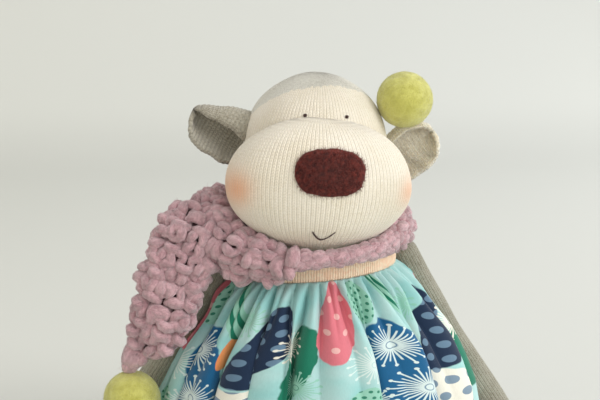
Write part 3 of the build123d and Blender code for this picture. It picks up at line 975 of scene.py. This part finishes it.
def make_leg(side, word):
    hip, knee = JOINTS[f"hip_{word}_swing"], JOINTS[f"knee_{word}_bend"]
    low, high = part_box(f"shin_{word}_skin")
    foot_x = high.x - FOOT_RADIUS if side > 0 else low.x + FOOT_RADIUS
    foot_y = low.y + 9.5 * MM
    centres = catmull([tuple(p) for p in (
        hip, hip.lerp(knee, 0.5), knee, knee.lerp(Vector((foot_x, foot_y, knee.z)), 0.55),
        Vector((foot_x, foot_y + 4 * MM, knee.z + 0.4 * MM)),
    )], 150)
    along = arc_length(centres)
    bend = (knee - hip).length
    radii = interpolate([
        (0, HIP_RADIUS), (bend * 0.5, 8.8 * MM), (bend, 8.4 * MM), (bend * 1.5, 8.5 * MM), (along[-1], 8.2 * MM)
    ], along)[:, 0]
    piece = knit_tube(f"leg_{word}_knit", centres, radii * closing(along, 0.9 * HIP_RADIUS, HIP_RADIUS))
    declare_limb(piece, word, "thigh", "shin")
    unit, faces, normals = ellipsoid(60, FOOT_HALF)
    across = columns_round(unit, FOOT_WALES)
    points = ribbed(unit * FOOT_HALF, normals, across) + np.array([foot_x, foot_y, high.z - 14 * MM])
    attributes = {"knit": coordinates(across, unit[:, 2] * FOOT_HALF[2] / MM), "blush": 0 * across}
    sole = make_piece(f"foot_{word}_knit", points, faces, MATERIALS["muzzle"], attributes)
    declare(sole, f"shin_{word}", [])


def make_tail():
    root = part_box("tail_skin")[0].y
    z = node_centre("tail_skin").z
    centres = catmull([(x * MM, root + y * MM, z) for x, y in TAIL_ROUTE], 170)
    along = arc_length(centres)
    radii = interpolate([(0, 4.6 * MM), (along[-1] * 0.6, 4.3 * MM), (along[-1], 3.9 * MM)], along)[:, 0]
    piece = knit_tube("tail_knit", centres, radii * closing(along[-1] - along, TAIL_TIP, TAIL_TIP), around=72)
    declare(piece, "tail", ["tail_skin", "tail_stuffing"])


def make_torso():
    heights = np.concatenate([np.linspace(0, 1.5, 5), np.linspace(2.5, 104, 110), np.linspace(104.6, 109, 12)])
    centre, rx, ry = interpolate(TORSO_PROFILE, heights).T[..., None]
    around = 200
    angle = circle_angles(around)
    across = angle / TAU * round(TAU * 36 / WALE) * WALE
    ribs = rib_height(across, TORSO_RIB) / MM
    section = (rx + ribs) * np.cos(angle), (ry + ribs) * np.sin(angle) + centre, heights[:, None]
    points = np.stack(np.broadcast_arrays(*section), -1).reshape(-1, 3) * MM
    attributes = {"knit": coordinates(across, heights[:, None]), "blush": 0 * points[:, 0]}
    faces = capped_faces(len(heights), around)
    piece = make_piece("torso_skin_knit", points, faces, MATERIALS["muzzle"], attributes, flat_caps=True)
    declare(piece, "torso", ["torso_skin"])


# Dress ------------------------------------------------------------------------------------

BAND_SECTION = [  # mm out of the surface, and share of the height
    (0.0, 0.0), (0.55, 0.02), (0.85, 0.12), (0.95, 0.35), (0.95, 0.65), (0.85, 0.9), (0.5, 0.99), (0.0, 1.0),
    (-0.5, 0.9), (-0.5, 0.1),
]
SKIRT_PROFILE = [  # share of the way down, half width, half depth, in mm
    (0.0, 35.0, 30.8), (0.02, 36.2, 32.6), (0.05, 38.4, 35.0), (0.12, 42.8, 39.6), (0.225, 48.2, 44.4),
    (0.33, 54.2, 49.0), (0.47, 60.8, 53.8), (0.6, 66.0, 57.6), (0.78, 69.4, 60.4), (1.0, 71.5, 62.5),
]
HEM_SEAM = (0.93, 0.004)  # where the hem's stitching runs down the skirt and how wide it is, as shares
LAP_LIFT = 9.0  # mm that the hem rises over the thighs
BAND_SEAM, BAND_SLOPE = 2.6 * MM, 0.07  # the seam's height over the band's lower edge, and its rise towards +X
CLOTH_THICK = 0.4 * MM


def band_bottom(x):
    """The seam between band and skirt, a little higher on +X."""
    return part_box("dress_band")[0].z + BAND_SEAM + BAND_SLOPE * x


def make_band():
    """The ribbed trim round the chest: a soft strip with a rounded section."""
    low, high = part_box("dress_band")
    rx, ry = (high.x - low.x) / 2, (high.y - low.y) / 2
    tall = high.z - low.z
    ribs = round(math.pi * (rx + ry) / MM / RIB_PITCH)
    angle = circle_angles(ribs * 6)
    rows = []
    for out, up in BAND_SECTION:
        raised = (out - 0.9 + 0.16 * np.cos(ribs * angle) * (out > 0.2)) * MM
        x, y = (rx + raised) * np.cos(angle), (ry + raised) * np.sin(angle)
        wave = 0.3 * np.sin(5 * angle + 1) * (1 if up > 0.5 else 0.4)
        rows.append(np.stack([x, y, band_bottom(x) + up * (high.z - band_bottom(x)) + wave * MM], 1))
    knit = coordinates(angle / TAU * ribs * RIB_PITCH, np.array([[up * tall / MM] for _, up in BAND_SECTION]))
    faces = grid_faces(len(rows), len(angle), wrap_rows=True, wrap_columns=True)[:, ::-1]
    piece = make_piece("dress_band_rib", np.concatenate(rows), faces, MATERIALS["band"], {"knit": knit})
    declare(piece, "torso", ["dress_band"])


def fold_pattern(angle, share):
    """How far the gathered cloth stands out, in mm, and how far it leans sideways, in radians."""
    def folds(phase, power):
        return 2 * np.abs(np.cos(phase / 2)) ** power - 1  # round crests with narrow valleys between

    warped = angle + 0.11 * np.sin(3 * angle + 0.8) + 0.05 * np.sin(7 * angle + 2.1)
    broad_phase = 17 * warped + 0.6 * np.sin(2 * angle)
    middle_phase = 33 * angle + 1.4 * np.sin(4 * angle + 0.4) + 0.5
    small_phase = 54 * angle + 1.1 * np.sin(5 * angle) + 0.9 * np.sin(9 * angle + 1.0)
    uneven = 0.8 + 0.3 * np.sin(5 * angle + 2.0) * np.cos(3 * angle)
    broad_depth = 5.6 * uneven * smoothstep(-0.05, 0.4, share)
    middle_depth = 2.7 * smoothstep(0.0, 0.09, share) * (1 - 0.8 * smoothstep(0.25, 0.75, share))
    small_depth = 1.5 * smoothstep(-0.01, 0.03, share) * (1 - smoothstep(0.06, 0.36, share))
    power = 1.1 + 0.9 * smoothstep(0.5, 1.0, share)
    out = broad_depth * folds(broad_phase, power) + middle_depth * folds(middle_phase, 0.8)
    out = out + small_depth * folds(small_phase, 0.9) + 0.25 * broad_depth
    lean = 0.07 * np.sin(broad_phase + 0.7) * smoothstep(0.03, 0.4, share)
    return out, lean


def make_skirt():
    rows, columns = 150, 1000
    share = np.linspace(0, 1, rows)[:, None]
    angle = circle_angles(columns)[None]
    out, lean = fold_pattern(angle, share)
    rx, ry = interpolate(SKIRT_PROFILE, share.ravel()).T[..., None]
    at_side = np.exp(-((np.abs(np.cos(angle)) - 1) / 0.05) ** 2) * smoothstep(0.04, 0.2, share)
    x = (rx + out - 3.4 * at_side) * np.cos(angle + lean)
    y = (ry + out - 1.0 * at_side) * np.sin(angle + lean)
    top = band_bottom(x * MM) / MM + 0.6
    lap = np.exp(-((angle - 1.5 * math.pi) / 0.62) ** 4)
    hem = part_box("dress_skirt")[0].z / MM + lap * LAP_LIFT + 0.4 * np.sin(17 * angle)
    points = np.stack([x, y, top + (hem - top) * share], -1).reshape(-1, 3) * MM
    front = (angle / TAU - 0.75 + 0.5) % 1.0 - 0.5
    seam = np.exp(-((share - HEM_SEAM[0]) / HEM_SEAM[1]) ** 2) * -2.0
    attributes = {
        "cloth": coordinates(front * CLOTH_WIDTH, share * CLOTH_LENGTH),
        "hem": np.broadcast_to(seam, (rows, columns)).ravel(),
    }
    faces = grid_faces(rows, columns, wrap_columns=True)[:, ::-1]
    piece = make_piece("dress_skirt_cloth", points, faces, MATERIALS["cotton"], attributes)
    thicken(piece, CLOTH_THICK, -1)
    declare(piece, "torso", ["dress_skirt"])


# Scarf ------------------------------------------------------------------------------------

YARN = 2.15 * MM
STITCH, ROW_PITCH = 7.5 * MM, 5.2 * MM
STRANDS = 1.7 * YARN  # how far the loops stand out of the surface that they are knitted on
YARN_FIBRES = (2.8 * MM, 0.06 * MM, 0.85)
PLAIN_BELOW = 7 * MM  # half size under which the strip is drawn together and its loops lie plain
CORE_INSET = 0.5 * MM
WRAP_LENGTH, FRONT_LENGTH, BACK_LENGTH = 0.240, 0.076, 0.050  # of the real strip, in metres
V_STEP = 1e-3
SCARF_WRAP = [  # degrees round the neck from the front, radius, height, half width, half height, in mm
    (-180, 35.5, 117.5, 7.0, 8.0),
    (-140, 36.5, 119.0, 8.0, 9.0),
    (-112, 42.0, 121.0, 9.5, 11.0),
    (-90, 47.0, 120.3, 11.5, 12.5),
    (-70, 44.5, 113.5, 12.0, 12.5),
    (-54, 40.6, 106.6, 9.6, 12.0),
    (-38, 39.2, 104.8, 7.4, 10.2),
    (-22, 37.8, 106.6, 4.8, 5.2),
    (0, 36.4, 107.8, 4.0, 3.9),
    (30, 36.2, 110.0, 4.4, 4.9),
    (60, 36.0, 113.0, 6.0, 7.2),
    (90, 35.8, 115.2, 6.6, 9.2),
    (130, 35.6, 116.6, 6.4, 8.4),
    (180, 35.5, 117.5, 7.0, 8.0),
]
FRONT_END = [  # share of the way down, X, Y and Z of the middle, half width, half thickness, in mm
    (0.00, -49.5, -10.0, 121.0, 15.5, 9.0),
    (0.16, -55.0, -18.0, 113.5, 17.0, 8.0),
    (0.34, -60.5, -21.0, 102.5, 15.0, 6.8),
    (0.52, -65.5, -22.5, 91.0, 13.8, 6.2),
    (0.70, -69.5, -22.5, 79.0, 13.2, 6.0),
    (0.84, -74.0, -21.0, 70.5, 9.2, 5.6),
    (0.93, -79.0, -19.5, 65.0, 5.6, 5.0),
    (1.00, -81.5, -18.0, 61.0, 3.8, 3.8),
]
BACK_END = [
    (0.00, 18.0, 38.0, 117.0, 12.0, 6.5),
    (0.25, 18.0, 45.0, 107.0, 14.5, 5.2),
    (0.60, 18.0, 53.0, 92.0, 14.0, 4.8),
    (0.85, 18.0, 59.0, 82.0, 10.0, 4.6),
    (1.00, 18.0, 62.0, 77.0, 4.0, 3.4),
]


def smooth_table(table, passes, wrap=False):
    """A finer, rounded copy of a table, so that pieces along it have no kinks."""
    x = np.linspace(table[0][0], table[-1][0], 73)
    fine = interpolate(table, x)
    for _ in range(passes):
        if wrap:
            ring = fine[:-1]
            ring = (np.roll(ring, 1, 0) + 2 * ring + np.roll(ring, -1, 0)) / 4
            fine = np.concatenate([ring, ring[:1]])
        else:
            fine[1:-1] = (fine[:-2] + 2 * fine[1:-1] + fine[2:]) / 4
    return np.column_stack([x, fine])


def wrap_shape():
    """The middle, the frame and the half sizes of the scarf round the neck, at v from 0 to 1."""
    table = smooth_table(SCARF_WRAP, 6, wrap=True)

    def centre_of(v):
        radius, height, _, _ = interpolate(table, v * 360 - 180).T
        turn = np.radians(v * 360 - 180)
        return np.stack([radius * np.sin(turn), -1.5 - radius * np.cos(turn), height], -1) * MM

    def frame_of(v):
        along = unit_rows(centre_of((v + V_STEP) % 1.0) - centre_of((v - V_STEP) % 1.0))
        turn = np.radians(v * 360 - 180)
        side = square_to(np.stack([np.sin(turn), -np.cos(turn), 0 * turn], -1), along)
        return side, np.cross(side, along), along

    def half_of(v):
        return interpolate(table, v * 360 - 180)[..., 2:] * MM

    return centre_of, frame_of, half_of


def end_shape(rows, facing):
    """The same for a flat hanging end; facing is the way its broad side looks."""
    table = smooth_table(rows, 2)

    def centre_of(v):
        return interpolate(table, v)[..., :3] * MM

    def frame_of(v):
        along = unit_rows(centre_of(np.clip(v + V_STEP, 0, 1)) - centre_of(np.clip(v - V_STEP, 0, 1)))
        out = square_to(np.array(facing, float), along)
        return np.cross(out, along), out, along

    def half_of(v):
        return interpolate(table, v)[..., 3:] * MM

    return centre_of, frame_of, half_of


def scarf_surface(shape, u, v):
    """Points, normals and the direction along the scarf; u goes once round it, v from end to end."""
    centre_of, frame_of, half_of = shape
    side, up, along = frame_of(v)
    wide, deep = np.maximum(half_of(v) - STRANDS, 0.5 * MM).T
    cosine, sine = np.cos(u * TAU), np.sin(u * TAU)
    point = centre_of(v) + side * (wide * cosine)[:, None] + up * (deep * sine)[:, None]
    normal = unit_rows(side * (cosine * deep)[:, None] + up * (sine * wide)[:, None])
    crumpled = smooth_noise(point, 21 * MM, 90) * np.minimum(0.35 * np.minimum(wide, deep), 1.1 * MM)
    return point + normal * crumpled[:, None], normal, along


def around_ellipse(wide, deep):
    return math.pi * (3 * (wide + deep) - math.sqrt((3 * wide + deep) * (wide + 3 * deep)))


def knit_loops(shape, rows, seed, samples=14, sides=9):
    """Closed rings of real yarn loops, in seed stitch: each loop's sides or its ends stand out in turn.

    Returns points, faces, the coordinates along and round the strand, and the strand's normals.
    """
    draw = np.random.default_rng(seed)
    angle = circle_angles(sides)
    meshes, strands, normals = [], [], []
    for row in range(rows):
        v = (row + 0.5) / rows
        half = shape[2](v)
        plain = half.max() < PLAIN_BELOW
        stitches = 2 * max(2, round(around_ellipse(*np.maximum(half - YARN, 2 * MM)) / STITCH / 2))
        steps = stitches * samples
        place = np.arange(steps) / samples
        t = place * TAU
        middles = np.arange(stitches) + 0.5
        spread = [np.interp(place, middles, j, period=stitches) for j in draw.normal(0, 1, (5, stitches))]
        kind = (-1.0) ** (np.arange(stitches) + row) * np.where(draw.random(stitches) < 0.18, -1, 1)
        kind = np.interp(place, middles, np.ones(stitches) if plain else kind, period=stitches)
        across = (place + 0.17 * np.sin(2 * t) + 0.09 * spread[0] + draw.uniform(0, 1)) / stitches
        slant = 0.8 if plain else 0.3 * math.sin(1.7 * row)
        up = (-np.cos(t) * 0.6 + 0.12 * spread[1] + slant * np.sin(TAU * across)) * ROW_PITCH
        relief = 0.4 if plain else 1.0
        out = (-np.cos(2 * t) * 0.75 * kind + 0.5 + 0.3 * spread[2]) * YARN * relief
        point, normal, along = scarf_surface(shape, across % 1.0, np.full(steps, v))
        centres = point + along * up[:, None] + normal * out[:, None]
        tangents = unit_rows(np.roll(centres, -1, 0) - np.roll(centres, 1, 0))
        side = square_to(normal, tangents)
        ring = rings(side, np.cross(tangents, side), angle)
        size = YARN * (1 + 0.12 * spread[3] - 0.14 * kind * np.cos(2 * t))[:, None]
        ply = 1 + 0.06 * np.cos(3 * angle + t[:, None] * 1.5)
        tube = centres[:, None] + ring * (size * ply)[..., None]
        meshes.append((tube.reshape(-1, 3), grid_faces(steps, sides, wrap_rows=True, wrap_columns=True)[:, ::-1]))
        normals.append(ring.reshape(-1, 3))
        length = np.cumsum(np.linalg.norm(np.diff(centres, axis=0, append=centres[:1]), axis=1)) / MM
        strands.append(coordinates(length[:, None] + row * 37.7, angle))
    return *merge(meshes), np.concatenate(strands), np.concatenate(normals)


def make_core(name, shape):
    """The close inner layer of the scarf, in a dark mauve that paints the shade between the loops."""
    rows, around = 60, 48
    u = np.linspace(0, 1, around, endpoint=False)
    layers = []
    for v in np.linspace(0.004, 0.996, rows):
        point, normal, _ = scarf_surface(shape, u, np.full(around, v))
        layers.append(point - normal * CORE_INSET)
    points = np.concatenate(layers)
    strand = coordinates(points[:, 2] / MM, np.tile(u * TAU, rows))
    # the core takes the dark roving: painted shade between the loops
    return make_piece(name, points, capped_faces(rows, around), MATERIALS["yarn_painted_shade"], {"yarn": strand})


def make_scarf_part(name, body, shape, length, seed):
    """A length of the scarf: a plain core for the sheet itself, dark as painted shade between the loops, with its
    loops and loose fibres on it.

    The length is that of the real strip.
    """
    core = make_core(f"{name}_core", shape)
    points, faces, strand, normals = knit_loops(shape, round(length / ROW_PITCH), seed)
    loops = make_piece(f"{name}_loops", points, faces, MATERIALS["yarn"], {"yarn": strand})
    declare(core, body, [])
    declare(loops, body, [name])
    roots = np.random.default_rng(seed).choice(len(points), len(points) // 9)
    halo = fuzz(f"{name}_fibres", body, "yarn_mauve", points[roots], normals[roots], MATERIALS["yarn"],
                *YARN_FIBRES, seed + 1)


def make_scarf():
    make_scarf_part("scarf_wrap", "torso", wrap_shape(), WRAP_LENGTH, 41)
    front, back = end_shape(FRONT_END, (-0.25, -1, 0.15)), end_shape(BACK_END, (0, 1, 0.4))
    make_scarf_part("scarf_end_front", "scarf_end_front", front, FRONT_LENGTH, 42)
    make_scarf_part("scarf_end_back", "scarf_end_back", back, BACK_LENGTH, 43)


# Stage ------------------------------------------------------------------------------------


def make_stage():
    """A pale floor that curves up into a backdrop, with painted light on its left and painted shade on the floor.
    """
    profile = [(-1.6, 0.0), (0.9, 0.0)]
    profile += [(0.9 + 0.7 * math.sin(a), 0.7 - 0.7 * math.cos(a)) for a in np.linspace(0.1, math.pi / 2, 12)]
    profile += [(1.6, 2.6)]
    points = [(x, y, z) for y, z in profile for x in (-3.0, 3.0)]
    graph = Graph("paper", roughness=0.9, specular=0.1)
    across, _, height = graph.parts(graph.place())
    # painted light: the paper is a little lighter on the left than on the right
    side = graph.mix(graph.step(across, -0.45, 0.5), linear(221, 222, 215), linear(215, 217, 213))
    # painted shade: the floor is darker than the backdrop above it
    colour = graph.mix(graph.step(height, 0.05, -0.02), side, graph.darken(side, linear(240, 240, 240)))
    material = graph.finish(colour, graph.noise(graph.place(), 900, 2.0), 0.05 * MM)
    make_piece("floor", points, grid_faces(len(profile), 2), material)


def dress_inner_nodes():
    """CAD pieces that stay inside the toy keep their own mesh and take a material."""
    inner = {"head_stuffing": "filling", "muzzle_stuffing": "filling", "torso_stuffing": "filling",
             "neck_core": "grey", "shoulder_thread": "thread"}
    for node, key in inner.items():
        materials = frame["nodes"][node].data.materials
        materials.clear()
        materials.append(MATERIALS[key])


make_camera()
make_lights()
make_stage()
make_head()
make_muzzle()
make_nose()
make_mouth()
make_eyes()
make_ball("head_ball_felt", "head_ball", "head", 51)
make_ball("scarf_ball_front_felt", "scarf_ball_front", "scarf_ball_front", 61)
make_ball("scarf_ball_back_felt", "scarf_ball_back", "scarf_ball_back", 71)
for side, word in ((-1, "left"), (1, "right")):
    make_ear(side, word)
    make_arm(side, word)
    make_leg(side, word)
make_tail()
make_torso()
make_band()
make_skirt()
make_scarf()
dress_inner_nodes()
